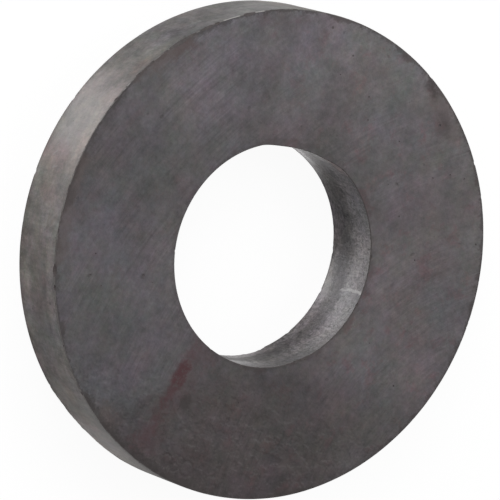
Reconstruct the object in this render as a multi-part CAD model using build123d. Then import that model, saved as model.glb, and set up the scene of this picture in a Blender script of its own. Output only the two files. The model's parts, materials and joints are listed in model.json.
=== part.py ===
from build123d import *

import os
from dataclasses import dataclass
from math import cos, radians, sin

# Ferrite ring magnet: one sintered ring, pressed along its axis and ground flat on both pole faces.
# Millimetres. The ring stands on its back face, with the origin at the centre of that face,
# +Z along the bore and -Y towards the eye. Angles run from +X, counter-clockwise seen from above.

# Driving dimensions
OUTER_DIAMETER = 70.0
BORE_DIAMETER = 32.0
THICKNESS = 10.5
EDGE_BREAK = 0.1

# Long spall: a run of flakes broken from the back outer rim, one beside the other
SPALL_FIRST_ANGLE = 326.2
SPALL_STEP_ANGLE = 5.2
SPALL_SCOOP = 34.0
SPALL_DEPTHS = [0.34, 0.44, 0.52, 0.36]
SPALL_LEAN = 30.0

# Small breaks: radius of the scooped surface, and how deep it bites in from the sharp rim
NICK_SCOOP = 0.7
NICK_DEPTH = 0.2
CHIP_SCOOP = 2.4
CHIP_DEPTH = 0.3
FLAKE_SCOOP = 8.0
FLAKE_DEPTH = 0.36
SHELL_SCOOP = 12.0
SHELL_DEPTH = 0.42
SHELL_LEAN = 32.0


@dataclass(frozen=True)
class Rim:
    """One of the ring's four round edges, and on which side of it the air lies."""

    radius: float
    height: float
    air_outward: int  # 1 where the wall faces out, -1 where it faces the bore
    air_upward: int  # 1 on the front face, -1 on the back face


@dataclass(frozen=True)
class Scoop:
    """The hollow that a break leaves: a shallow piece of a ball."""

    radius: float
    depth: float
    lean: float = 45.0  # degrees: 0 lies along the wall, 90 lies along the pole face


FRONT_OUTER = Rim(OUTER_DIAMETER / 2, THICKNESS, 1, 1)
FRONT_BORE = Rim(BORE_DIAMETER / 2, THICKNESS, -1, 1)
BACK_OUTER = Rim(OUTER_DIAMETER / 2, 0.0, 1, -1)
BACK_BORE = Rim(BORE_DIAMETER / 2, 0.0, -1, -1)

NICK = Scoop(NICK_SCOOP, NICK_DEPTH)
CHIP = Scoop(CHIP_SCOOP, CHIP_DEPTH)
FLAKE = Scoop(FLAKE_SCOOP, FLAKE_DEPTH)
SHELL = Scoop(SHELL_SCOOP, SHELL_DEPTH, SHELL_LEAN)

# Where each small break sits, by rim and kind: degrees round the ring
BREAKS = [
    (FRONT_OUTER, FLAKE, [225.6]),
    (FRONT_OUTER, CHIP, [218.2, 222.6, 206.8, 288.3]),
    (FRONT_OUTER, NICK, [194.6, 200.8, 215.4, 229.8, 234.2, 238.6, 246.3, 292.3, 152.4, 127.5]),
    (FRONT_BORE, CHIP, [33.6, 38.2]),
    (FRONT_BORE, NICK, [0.7, 29.4, 78.5, 104.2, 341.0]),
    (BACK_OUTER, CHIP, [192.4]),
    (BACK_OUTER, NICK, [268.0, 319.9, 249.0]),
    (BACK_BORE, SHELL, [18.0, 25.6]),
    (BACK_BORE, NICK, [52.0, 80.0, 101.5]),
]


def make_ring() -> Part:
    """Spin the wall's section, a rectangle with its four corners broken, round the bore's axis."""
    wall = (OUTER_DIAMETER - BORE_DIAMETER) / 2
    with BuildPart() as ring:
        with BuildSketch(Plane.XZ):
            with Locations((BORE_DIAMETER / 2 + wall / 2, THICKNESS / 2)):
                Rectangle(wall, THICKNESS)
            chamfer(vertices(), EDGE_BREAK)
        revolve(axis=Axis.Z)
    return ring.part


def scoop_ball(rim: Rim, scoop: Scoop, angle: float) -> Part:
    """The ball that cuts one break: its centre stands in the air, out from the sharp rim."""
    reach = scoop.radius - scoop.depth
    centre_radius = rim.radius + rim.air_outward * reach * cos(radians(scoop.lean))
    centre_height = rim.height + rim.air_upward * reach * sin(radians(scoop.lean))
    centre = (
        centre_radius * cos(radians(angle)),
        centre_radius * sin(radians(angle)),
        centre_height,
    )
    return Pos(*centre) * Sphere(scoop.radius)


def make_ring_magnet() -> Part:
    """The ring with every break cut from its rims."""
    ring = make_ring()
    for index, depth in enumerate(SPALL_DEPTHS):
        angle = SPALL_FIRST_ANGLE + index * SPALL_STEP_ANGLE
        ring -= scoop_ball(BACK_OUTER, Scoop(SPALL_SCOOP, depth, SPALL_LEAN), angle)
    for rim, scoop, angles in BREAKS:
        for angle in angles:
            ring -= scoop_ball(rim, scoop, angle)
    return ring


ring_magnet = make_ring_magnet()
os.makedirs("parts", exist_ok=True)
export_step(ring_magnet, "parts/ring_magnet.step")
print(f"ring_magnet: {len(ring_magnet.solids())} solid, {ring_magnet.volume:.1f} mm3")
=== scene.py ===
"""Looks of a ferrite ring magnet that lies flat on a pale studio floor.

The ring is one sintered piece, so the scene has one piece for the object. Its section is spun into a
ring by a geometry tree, which also breaks the flakes and nicks out of its rims and opens the pinholes
in its skin. Each kind of surface has a finish of its own, which lays on the grinding lines, the fired
skin's streaks, the stains, the dirt and the rust, and in places painted light, shade and highlights,
with shader groups for what the finishes share.
"""

import json
import logging
import math
from dataclasses import dataclass
from enum import Enum
from typing import Any, Union

import bmesh
import bpy
from mathutils import Matrix, Vector


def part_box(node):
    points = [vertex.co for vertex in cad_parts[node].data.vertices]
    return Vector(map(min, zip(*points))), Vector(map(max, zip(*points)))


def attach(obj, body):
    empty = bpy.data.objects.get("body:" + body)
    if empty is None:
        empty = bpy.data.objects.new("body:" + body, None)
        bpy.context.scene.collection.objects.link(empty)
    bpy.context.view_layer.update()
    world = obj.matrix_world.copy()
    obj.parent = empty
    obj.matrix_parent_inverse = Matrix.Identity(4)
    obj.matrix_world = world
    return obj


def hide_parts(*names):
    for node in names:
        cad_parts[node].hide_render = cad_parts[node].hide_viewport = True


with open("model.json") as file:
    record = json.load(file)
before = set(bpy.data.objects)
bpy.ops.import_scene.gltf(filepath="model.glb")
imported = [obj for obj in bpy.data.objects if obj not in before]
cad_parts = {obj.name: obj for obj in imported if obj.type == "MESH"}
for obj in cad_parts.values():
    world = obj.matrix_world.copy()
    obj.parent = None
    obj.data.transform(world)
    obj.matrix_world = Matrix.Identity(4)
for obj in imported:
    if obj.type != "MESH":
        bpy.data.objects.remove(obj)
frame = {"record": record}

LOG = logging.getLogger("ring_magnet")
MM = 0.001
NODE = "ring_magnet"
FRONT_HEIGHT = 10.5  # millimetres, where the marks on the front face lie
BACK_HEIGHT = 0.0
UNCHANGED = (1.0, 1.0, 1.0)
STAGE_WHITE = (0.7, 0.7, 0.7)


class Field:
    """One output of a node, on which sums are written as plain arithmetic."""

    def __init__(self, graph: "Graph", socket: bpy.types.NodeSocket) -> None:
        """Keep the graph that the node belongs to, and the output."""
        self.graph = graph
        self.socket = socket

    def _combine(self, operation: str, first: "Feed", second: "Feed") -> "Field":
        """Join two values by one sum, as vectors where either of them is one.

        Args:
            operation: The sum's name in the math nodes.
            first: The left value.
            second: The right value.

        Returns:
            The result, as a new field.
        """
        is_vector = any(
            isinstance(side, tuple) or (isinstance(side, Field) and side.socket.type in ("VECTOR", "RGBA"))
            for side in (first, second)
        )
        kind = "ShaderNodeVectorMath" if is_vector else "ShaderNodeMath"
        return self.graph.make(kind, {0: first, 1: second}, operation=operation)

    def __add__(self, other: "Feed") -> "Field":
        """This value plus another."""
        return self._combine("ADD", self, other)

    def __radd__(self, other: "Feed") -> "Field":
        """Another value plus this one."""
        return self._combine("ADD", other, self)

    def __sub__(self, other: "Feed") -> "Field":
        """This value less another."""
        return self._combine("SUBTRACT", self, other)

    def __rsub__(self, other: "Feed") -> "Field":
        """Another value less this one."""
        return self._combine("SUBTRACT", other, self)

    def __mul__(self, other: "Feed") -> "Field":
        """This value times another."""
        return self._combine("MULTIPLY", self, other)

    def __rmul__(self, other: "Feed") -> "Field":
        """Another value times this one."""
        return self._combine("MULTIPLY", other, self)

    def __truediv__(self, other: "Feed") -> "Field":
        """This value over another."""
        return self._combine("DIVIDE", self, other)

    def __rtruediv__(self, other: "Feed") -> "Field":
        """Another value over this one."""
        return self._combine("DIVIDE", other, self)

    def __pow__(self, power: "Feed") -> "Field":
        """This value raised to a power."""
        return self._combine("POWER", self, power)

    def beside(self, output: int | str) -> "Field":
        """Another output of the same node."""
        return Field(self.graph, self.socket.node.outputs[output])


Feed = Union[Field, float, int, bool, str, tuple, list, bpy.types.Material]


class Graph:
    """Writes nodes and links into one node tree."""

    def __init__(self, tree: bpy.types.NodeTree) -> None:
        """Keep the tree that the nodes go into."""
        self.tree = tree

    def node(self, kind: str, **settings: Any) -> bpy.types.Node:
        """Add a node.

        Args:
            kind: The node's type name.
            **settings: Values for the node's own properties.

        Returns:
            The new node.
        """
        node = self.tree.nodes.new(kind)
        for name, value in settings.items():
            setattr(node, name, value)
        return node

    def feed(self, socket: bpy.types.NodeSocket, value: Feed) -> None:
        """Give an input its value, by a link from a field or as a constant.

        Args:
            socket: The input.
            value: A field, a constant, or a list of fields for an input that takes several.
        """
        for item in value if isinstance(value, list) else [value]:
            if isinstance(item, Field):
                self.tree.links.new(item.socket, socket)
            elif socket.type == "VECTOR" and isinstance(item, (int, float)):
                socket.default_value = (item, item, item)
            elif socket.type == "RGBA" and len(item) == 3:
                socket.default_value = (*item, 1.0)
            else:
                socket.default_value = item

    def make(self, kind: str, feeds: dict | None = None, out: int | str = 0, **settings: Any) -> Field:
        """Add a node, give its inputs their values and return one of its outputs.

        Args:
            kind: The node's type name.
            feeds: A value for each input, by the input's name or its place.
            out: The output that is wanted, by its name or its place.
            **settings: Values for the node's own properties.

        Returns:
            The wanted output as a field.
        """
        node = self.node(kind, **settings)
        for key, value in (feeds or {}).items():
            self.feed(node.inputs[key], value)
        return Field(self, node.outputs[out])

    def math(self, operation: str, *values: Feed) -> Field:
        """One math node on numbers, such as SINE, MINIMUM or ABSOLUTE."""
        return self.make("ShaderNodeMath", dict(enumerate(values)), operation=operation)

    def vector(self, x: Feed, y: Feed, z: Feed) -> Field:
        """Three numbers joined into a vector."""
        return self.make("ShaderNodeCombineXYZ", {"X": x, "Y": y, "Z": z})

    def parts(self, vector: Field) -> tuple[Field, Field, Field]:
        """The three numbers of a vector."""
        first = self.make("ShaderNodeSeparateXYZ", {0: vector})
        return first, first.beside(1), first.beside(2)

    def scaled(self, vector: Field, scale: Feed) -> Field:
        """A vector times one number."""
        return self.make("ShaderNodeVectorMath", {"Vector": vector, "Scale": scale}, operation="SCALE")

    def length(self, vector: Field) -> Field:
        """The length of a vector."""
        return self.make("ShaderNodeVectorMath", {"Vector": vector}, out="Value", operation="LENGTH")

    def ramp(self, value: Feed, low: Feed, high: Feed, start: Feed = 0.0, end: Feed = 1.0) -> Field:
        """A smooth step from start to end as value goes from low to high.

        Args:
            value: The value that is read.
            low: Where the step begins.
            high: Where the step is complete.
            start: What is given out below low.
            end: What is given out above high.

        Returns:
            The stepped value.
        """
        feeds = {0: value, 1: low, 2: high, 3: start, 4: end}
        return self.make("ShaderNodeMapRange", feeds, interpolation_type="SMOOTHSTEP")

    def noise(
        self, place: Field, scale: Feed, detail: float = 2.0, roughness: float = 0.5, out: int | str = 0
    ) -> Field:
        """Smooth noise about 0.5, at scale humps for each unit of place."""
        feeds = {"Vector": place, "Scale": scale, "Detail": detail, "Roughness": roughness}
        return self.make("ShaderNodeTexNoise", feeds, out=out)

    def tint(self, share: Feed, first: Feed, second: Feed) -> Field:
        """The first colour, gone over to the second by share."""
        feeds = {0: share, 6: first, 7: second}
        return self.make("ShaderNodeMix", feeds, out=2, data_type="RGBA")

    def toned(self, share: Feed, tone: tuple[float, float, float], color: Field) -> Field:
        """The colour times a tone, as far as share says."""
        return self.tint(share, UNCHANGED, tone) * color

    def use(self, group: "Group", feeds: dict, out: str) -> Field:
        """Place a group in this tree.

        Args:
            group: The group to place.
            feeds: A value for each of its inputs, by name.
            out: The output that is wanted.

        Returns:
            The wanted output as a field.
        """
        kind = "GeometryNodeGroup" if group.tree.bl_idname == "GeometryNodeTree" else "ShaderNodeGroup"
        node = self.node(kind, node_tree=group.tree)
        for name, value in feeds.items():
            self.feed(node.inputs[name], value)
        return Field(self, node.outputs[out])


class Group(Graph):
    """A node group being written, with named inputs and outputs."""

    def __init__(self, name: str, kind: str) -> None:
        """Start an empty group.

        Args:
            name: The group's name.
            kind: ShaderNodeTree or GeometryNodeTree.
        """
        super().__init__(bpy.data.node_groups.new(name, kind))
        self.entry = self.node("NodeGroupInput")
        self.exit = self.node("NodeGroupOutput")

    def takes(self, name: str, default: Any = None, kind: str = "NodeSocketFloat") -> Field:
        """Add a named input.

        Args:
            name: The input's name.
            default: Its value where none is given.
            kind: The socket's type.

        Returns:
            The input, as a field to use inside the group.
        """
        socket = self.tree.interface.new_socket(name, in_out="INPUT", socket_type=kind)
        if default is not None:
            socket.default_value = default
        return Field(self, self.entry.outputs[name])

    def gives(self, name: str, value: Field, kind: str = "NodeSocketFloat") -> None:
        """Add a named output and link its value to it."""
        self.tree.interface.new_socket(name, in_out="OUTPUT", socket_type=kind)
        self.feed(self.exit.inputs[name], value)

    def identifier(self, name: str) -> str:
        """The identifier of a named input, by which a modifier's value is set."""
        items = self.tree.interface.items_tree
        return next(item.identifier for item in items if item.name == name and item.in_out == "INPUT")

    def carried(self, name: str, kind: str) -> Field:
        """The value that the geometry carries under a name."""
        return self.make("GeometryNodeInputNamedAttribute", {"Name": name}, data_type=kind)

    def carry(self, geometry: Field, name: str, value: Feed, kind: str, domain: str) -> Field:
        """The geometry, carrying a value under a name."""
        feeds = {"Geometry": geometry, "Name": name, "Value": value}
        return self.make("GeometryNodeStoreNamedAttribute", feeds, data_type=kind, domain=domain)

    def shift(self, geometry: Field, offset: Field) -> Field:
        """The geometry with its points moved."""
        return self.make("GeometryNodeSetPosition", {"Geometry": geometry, "Offset": offset})

    def chance(self, low: float, high: float, seed: Field) -> Field:
        """A random number for each point, from low to high."""
        return self.make("FunctionNodeRandomValue", {2: low, 3: high, 8: seed}, out=1, data_type="FLOAT")


def new_material(name: str) -> tuple[bpy.types.Material, Graph, bpy.types.Node]:
    """Start a material.

    Args:
        name: Its name.

    Returns:
        The material, its graph and its shader.
    """
    material = bpy.data.materials.new(name)
    material.use_nodes = True
    return material, Graph(material.node_tree), material.node_tree.nodes["Principled BSDF"]


def set_plain(shader: bpy.types.Node, values: dict[str, Any]) -> None:
    """Set the shader's numbers and colours that are the same all over."""
    for name, value in values.items():
        shader.inputs[name].default_value = value


def put_in_scene(name: str, data: bpy.types.ID) -> bpy.types.Object:
    """Make an object of the data and put it in the scene.

    Args:
        name: The object's name.
        data: Its mesh, light or camera.

    Returns:
        The object.
    """
    item = bpy.data.objects.new(name, data)
    bpy.context.scene.collection.objects.link(item)
    return item


class Rim(Enum):
    """The ring's four round edges: which wall and which pole face meet there."""

    FRONT_OUTER = (1, 1)
    FRONT_BORE = (-1, 1)
    BACK_OUTER = (1, -1)
    BACK_BORE = (-1, -1)

    @property
    def air_outward(self) -> int:
        """1 where the wall faces out, and -1 where it faces the bore."""
        return self.value[0]

    @property
    def air_upward(self) -> int:
        """1 on the front face, and -1 on the back face."""
        return self.value[1]


class Zone(Enum):
    """The kinds of surface on the ring, by the number that its faces carry in the tree."""

    POLE_FACE = 0
    OUTER_WALL = 1
    BORE_WALL = 2
    EASED_EDGE = 3
    BREAK = 4
    PINHOLE = 5


class Pebble(Enum):
    """The kinds of pebble that are taken from the ring: number, fineness and the surface they leave."""

    BROAD = (0, 5, Zone.BREAK)
    SMALL = (1, 4, Zone.BREAK)
    STREWN = (2, 2, Zone.BREAK)
    HOLE = (3, 2, Zone.PINHOLE)


@dataclass(frozen=True)
class Scoop:
    """The hollow that a break leaves, as a ball that bites in from the sharp rim. Millimetres."""

    radius: float
    depth: float
    lean: float = 45.0


@dataclass(frozen=True)
class Pinhole:
    """A hole in the front face: its place and its radius in millimetres."""

    x: float
    y: float
    radius: float


SPALL = [Scoop(34.0, depth, 30.0) for depth in (0.34, 0.44, 0.52, 0.36)]
SPALL_FIRST_ANGLE = 326.2
SPALL_STEP_ANGLE = 5.2
NICK = Scoop(0.7, 0.2)
CHIP = Scoop(2.4, 0.3)
FLAKE = Scoop(8.0, 0.36)
SHELL = Scoop(12.0, 0.42, 32.0)
BREAKS = [
    (Rim.FRONT_OUTER, FLAKE, [225.6]),
    (Rim.FRONT_OUTER, CHIP, [218.2, 222.6, 206.8, 288.3]),
    (Rim.FRONT_OUTER, NICK, [194.6, 200.8, 215.4, 229.8, 234.2, 238.6, 246.3, 292.3, 152.4, 127.5]),
    (Rim.FRONT_BORE, CHIP, [33.6, 38.2]),
    (Rim.FRONT_BORE, NICK, [0.7, 29.4, 78.5, 104.2, 341.0]),
    (Rim.BACK_OUTER, CHIP, [192.4]),
    (Rim.BACK_OUTER, NICK, [268.0, 319.9, 249.0]),
    (Rim.BACK_BORE, SHELL, [18.0, 25.6]),
    (Rim.BACK_BORE, NICK, [52.0, 80.0, 101.5]),
]

PINHOLES = [
    Pinhole(-33.1, -2.0, 0.22),
    Pinhole(-22.3, 8.2, 0.16),
    Pinhole(-24.8, 20.1, 0.26),
    Pinhole(-18.6, 24.3, 0.18),
    Pinhole(-17.4, 21.6, 0.15),
    Pinhole(-18.7, 26.8, 0.18),
    Pinhole(-15.0, 16.1, 0.15),
    Pinhole(10.2, -27.6, 0.2),
    Pinhole(8.1, -19.4, 0.22),
    Pinhole(11.2, -25.4, 0.15),
    Pinhole(-30.3, 2.6, 0.16),
    Pinhole(-25.5, 7.2, 0.15),
    Pinhole(-27.2, 1.5, 0.12),
    Pinhole(-10.7, 18.1, 0.15),
]


@dataclass(frozen=True)
class Scar:
    """A mark laid along a line on the ring: its two ends and its widths, in millimetres."""

    start: tuple[float, float, float]
    end: tuple[float, float, float]
    half_width: float
    soft: float
    ragged: float = 0.4
    strength: float = 1.0


def face_scar(
    start: tuple[float, float],
    end: tuple[float, float],
    half_width: float,
    soft: float,
    ragged: float,
    strength: float,
) -> Scar:
    """A mark on the front face, in millimetres.

    Args:
        start: One end's place on the face.
        end: The other end's place.
        half_width: How far the full mark reaches from its line.
        soft: How far it then takes to fade.
        ragged: How much its edge wanders.
        strength: How strong it is, from 0 to 1.

    Returns:
        The mark.
    """
    return Scar((*start, FRONT_HEIGHT), (*end, FRONT_HEIGHT), half_width, soft, ragged, strength)


@dataclass(frozen=True)
class Scuff:
    """A small ring-shaped rub on the front face, in millimetres."""

    x: float
    y: float
    radius: float
    half_width: float
    strength: float


@dataclass(frozen=True)
class SkinEffects:
    """The shader groups that the ring's finishes share."""

    place: Group
    drift: Group
    grain: Group
    scar: Group
    rim_dirt: Group

    @classmethod
    def build(cls, outer: float, bore: float, height: float) -> "SkinEffects":
        """Write the groups for a ring of these sizes, in millimetres.

        Args:
            outer: The outside radius.
            bore: The bore's radius.
            height: The thickness.

        Returns:
            The groups.
        """
        return cls(
            cls.write_place(),
            cls.write_drift(),
            cls.write_grain(),
            cls.write_scar(),
            cls.write_rim_dirt(outer, bore, height),
        )

    @staticmethod
    def write_place() -> Group:
        """Where a point of the surface is on the ring, in millimetres.

        Returns:
            The group.
        """
        group = Group("place_on_ring", "ShaderNodeTree")
        spot = group.make("ShaderNodeTexCoord", out="Object")
        place = group.scaled(spot, 1.0 / MM)
        x, y, z = group.parts(place)
        group.gives("Place", place, "NodeSocketVector")
        group.gives("Radius", group.length(group.vector(x, y, 0.0)))
        group.gives("Height", z)
        return group

    @staticmethod
    def write_drift() -> Group:
        """A tone that drifts lighter and darker, redder and bluer, at every scale from Size down.

        Returns:
            The group.
        """
        group = Group("tone_drift", "ShaderNodeTree")
        place = group.takes("Place", kind="NodeSocketVector")
        base = group.takes("Base", kind="NodeSocketColor")
        size = group.takes("Size", 20.0)
        light = group.takes("Light", 1.0)
        red = group.takes("Red", 0.5)
        blue = group.takes("Blue", 0.3)
        broad = group.noise(place, 1.0 / size, 3.0, 0.7)
        close = group.noise(place + (17.0, 5.0, 29.0), 9.0 / size, 4.0, 0.85)
        hues = group.noise(place + (3.0, 41.0, 13.0), 2.2 / size, 5.0, 0.85, out="Color")
        redder, _, bluer = group.parts(hues)
        value = (broad - 0.5) * 0.68 + (close - 0.5) * 0.46
        rosy = (redder - 0.5) * red
        hue = group.vector(rosy + 1.0, 1.0, rosy * 0.45 + (bluer - 0.5) * blue + 1.0)
        group.gives("Color", base * (value * light + 1.0) * hue, "NodeSocketColor")
        return group

    @staticmethod
    def write_grain() -> Group:
        """Fine grain of the sintered body, about zero, and small dark specks in it.

        Returns:
            The group.
        """
        group = Group("sintered_grain", "ShaderNodeTree")
        place = group.takes("Place", kind="NodeSocketVector")
        size = group.takes("Grain Size", 0.3)
        specks = group.takes("Speck Share", 0.02)
        scale = 1.0 / size
        coarse = group.noise(place, scale, 2.0, 0.8)
        group.gives("Grain", (coarse - 0.5) * 2.4)
        blots = group.noise(place + (31.0, 17.0, 9.0), scale * 0.7, 1.0, 0.4)
        level = 0.76 - specks
        group.gives("Specks", group.ramp(blots, level, level + 0.05))
        return group

    @staticmethod
    def write_scar() -> Group:
        """How far a point is inside a ragged mark that runs from one place to another.

        Returns:
            The group.
        """
        group = Group("scar", "ShaderNodeTree")
        place = group.takes("Place", kind="NodeSocketVector")
        start = group.takes("Start", kind="NodeSocketVector")
        end = group.takes("End", kind="NodeSocketVector")
        half_width = group.takes("Half Width", 0.5)
        soft = group.takes("Soft", 0.5)
        ragged = group.takes("Ragged", 0.4)
        wander = group.noise(place, 1.1, 4.0, 0.75, out="Color") - (0.5, 0.5, 0.5)
        spot = place + group.scaled(wander, ragged * 5.0)
        line = end - start
        along = group.make(
            "ShaderNodeVectorMath", {0: spot - start, 1: line}, out="Value", operation="DOT_PRODUCT"
        )
        size = group.make("ShaderNodeVectorMath", {0: line, 1: line}, out="Value", operation="DOT_PRODUCT")
        share = group.math("MINIMUM", group.math("MAXIMUM", along / size, 0.0), 1.0)
        away = group.length(spot - start - group.scaled(line, share))
        group.gives("Mask", group.ramp(away, half_width, half_width + soft, 1.0, 0.0))
        return group

    @staticmethod
    def write_rim_dirt(outer: float, bore: float, height: float) -> Group:
        """Dirt that gathers beside the rims in an uneven band, by the distance to the nearest one.

        Args:
            outer: The outside radius.
            bore: The bore's radius.
            height: The thickness.

        Returns:
            The group.
        """
        group = Group("rim_dirt", "ShaderNodeTree")
        place = group.takes("Place", kind="NodeSocketVector")
        radius = group.takes("Radius")
        z = group.takes("Height")
        reach = group.takes("Reach", 1.0)
        to_outer = group.math("ABSOLUTE", radius - outer)
        to_bore = group.math("ABSOLUTE", radius - bore)
        wall = group.math("MINIMUM", to_outer, to_bore)
        face = group.math("MINIMUM", z, height - z)
        away = group.math("MAXIMUM", wall, face)
        drift = group.noise(place, 0.3, 6.0, 0.8)
        width = reach * group.ramp(drift, 0.36, 0.68, 0.1, 1.9)
        group.gives("Mask", group.ramp(away, width * 0.35, width, 1.0, 0.0))
        return group


@dataclass(frozen=True)
class Finish:
    """What all the ring's finishes hold: the tone and its drift, the grain and the shader's numbers.

    The drift's size, the grain's size and the reach of the dirt are in millimetres, the relief in metres.
    """

    name: str
    base: tuple[float, float, float]
    roughness: float
    size: float = 22.0
    light: float = 1.0
    red: float = 0.5
    blue: float = 0.35
    index: float = 1.6
    grain_size: float = 0.3
    grain_share: float = 0.3
    speck_share: float = 0.0
    dirt_reach: float = 0.3
    relief: float = 0.02 * MM
    soot: tuple[float, float, float] = (0.055, 0.046, 0.043)

    def start(self, effects: SkinEffects) -> tuple[bpy.types.Material, Graph, Field, Field, Field]:
        """Make the material with its plain numbers, and the fields that place its patterns.

        Args:
            effects: The shared shader groups.

        Returns:
            The material, its graph, and the place, radius and height on the ring.
        """
        material, graph, shader = new_material(self.name)
        set_plain(shader, {"IOR": self.index, "Roughness": self.roughness})
        place = graph.use(effects.place, {}, "Place")
        return material, graph, place, place.beside("Radius"), place.beside("Height")

    def tone(self, effects: SkinEffects, graph: Graph, place: Field) -> Field:
        """The drifting tone of the body.

        Args:
            effects: The shared shader groups.
            graph: The material's graph.
            place: The place on the ring.

        Returns:
            The colour.
        """
        feeds = {
            "Place": place,
            "Base": self.base,
            "Size": self.size,
            "Light": self.light,
            "Red": self.red,
            "Blue": self.blue,
        }
        return graph.use(effects.drift, feeds, "Color")

    def grains(self, effects: SkinEffects, graph: Graph, place: Field) -> tuple[Field, Field]:
        """The grain of the body and the small dark specks in it.

        Args:
            effects: The shared shader groups.
            graph: The material's graph.
            place: The place on the ring.

        Returns:
            The grain, about zero, and the specks, from 0 to 1.
        """
        feeds = {"Place": place, "Grain Size": self.grain_size, "Speck Share": self.speck_share}
        grain = graph.use(effects.grain, feeds, "Grain")
        return grain, grain.beside("Specks")

    def dirt(self, effects: SkinEffects, graph: Graph, place: Field, radius: Field, height: Field) -> Field:
        """The dirt that gathers beside the rims.

        Args:
            effects: The shared shader groups.
            graph: The material's graph.
            place: The place on the ring.
            radius: The distance from the bore's axis.
            height: The height above the back face.

        Returns:
            How thick the dirt is, from 0 to 1.
        """
        feeds = {"Place": place, "Radius": radius, "Height": height, "Reach": self.dirt_reach}
        return graph.use(effects.rim_dirt, feeds, "Mask")

    def finish(self, graph: Graph, color: Field, roughness: Field, height: Field) -> None:
        """Feed the shader.

        Args:
            graph: The material's graph.
            color: The base colour.
            roughness: The roughness.
            height: The relief, from 0 to 1.
        """
        shader = graph.tree.nodes["Principled BSDF"]
        feeds = {"Strength": 1.0, "Distance": self.relief, "Height": height}
        bump = graph.make("ShaderNodeBump", feeds, out="Normal")
        graph.feed(shader.inputs["Base Color"], color)
        graph.feed(shader.inputs["Roughness"], roughness)
        graph.feed(shader.inputs["Normal"], bump)

    def marks(self, effects: SkinEffects, graph: Graph, place: Field, scars: tuple[Scar, ...]) -> Field:
        """The strongest of several marks at each point.

        Args:
            effects: The shared shader groups.
            graph: The material's graph.
            place: The place on the ring.
            scars: The marks.

        Returns:
            How strong the mark is, from 0 to 1.
        """
        total: Feed = 0.0
        for scar in scars:
            feeds = {
                "Place": place,
                "Start": scar.start,
                "End": scar.end,
                "Half Width": scar.half_width,
                "Soft": scar.soft,
                "Ragged": scar.ragged,
            }
            mask = graph.use(effects.scar, feeds, "Mask") * scar.strength
            total = graph.math("MAXIMUM", total, mask)
        return total

    def streaks(self, graph: Graph, place: Field) -> Field:
        """Lines drawn up a wall as the ring left its die.

        Args:
            graph: The material's graph.
            place: The place on the ring.

        Returns:
            The lines, about zero.
        """
        x, y, z = graph.parts(place)
        fine = graph.noise(graph.vector(x * 2.0, y * 2.0, z * 0.3), 1.0, 3.0, 0.75)
        broad = graph.noise(graph.vector(x * 0.6, y * 0.6, z * 0.08 + 5.0), 1.0, 2.0, 0.6)
        return (fine - 0.5) * 1.6 + (broad - 0.5) * 0.9


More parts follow.
